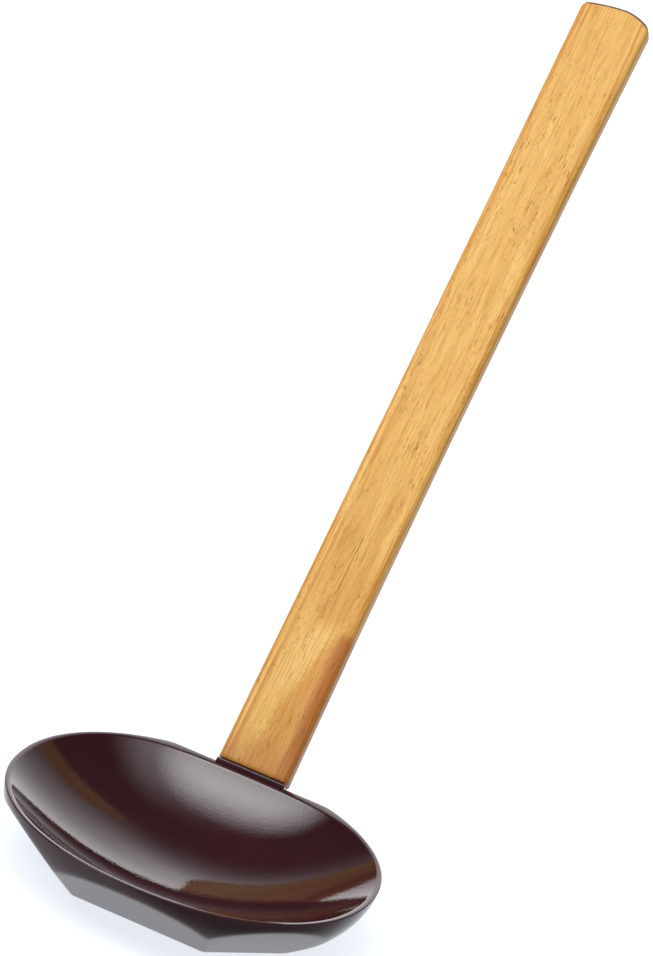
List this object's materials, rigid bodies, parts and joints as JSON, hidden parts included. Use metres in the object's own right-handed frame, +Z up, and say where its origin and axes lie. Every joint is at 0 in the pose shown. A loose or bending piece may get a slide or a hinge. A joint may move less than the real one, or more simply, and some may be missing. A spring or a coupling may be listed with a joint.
{
  "type": "ladle",
  "caption": "Serving ladle with a thin-walled oval lacquered bowl, facet-cut underside, flat foot and a straight slat handle of varnished bamboo rising behind it.",
  "frame": {"origin": "middle of the flat foot, on the plane that the ladle stands on", "axes": "+Z up, +Y towards the handle, -Y the front lip of the bowl, X across the bowl and the handle"},
  "size_m": [0.0914, 0.2184, 0.1923],
  "materials": {
    "lacquer": "very dark red-brown lacquer over a thin moulded shell, glossy with a slight orange peel",
    "varnished_bamboo": "honey-yellow long-grained bamboo with brown flecks, satin varnish",
    "plain_bamboo": "bare end grain, matt"
  },
  "bodies": {
    "root": {"bowl": "lacquer", "handle": "varnished_bamboo", "lock_pin": "plain_bamboo"}
  },
  "joints": []
}
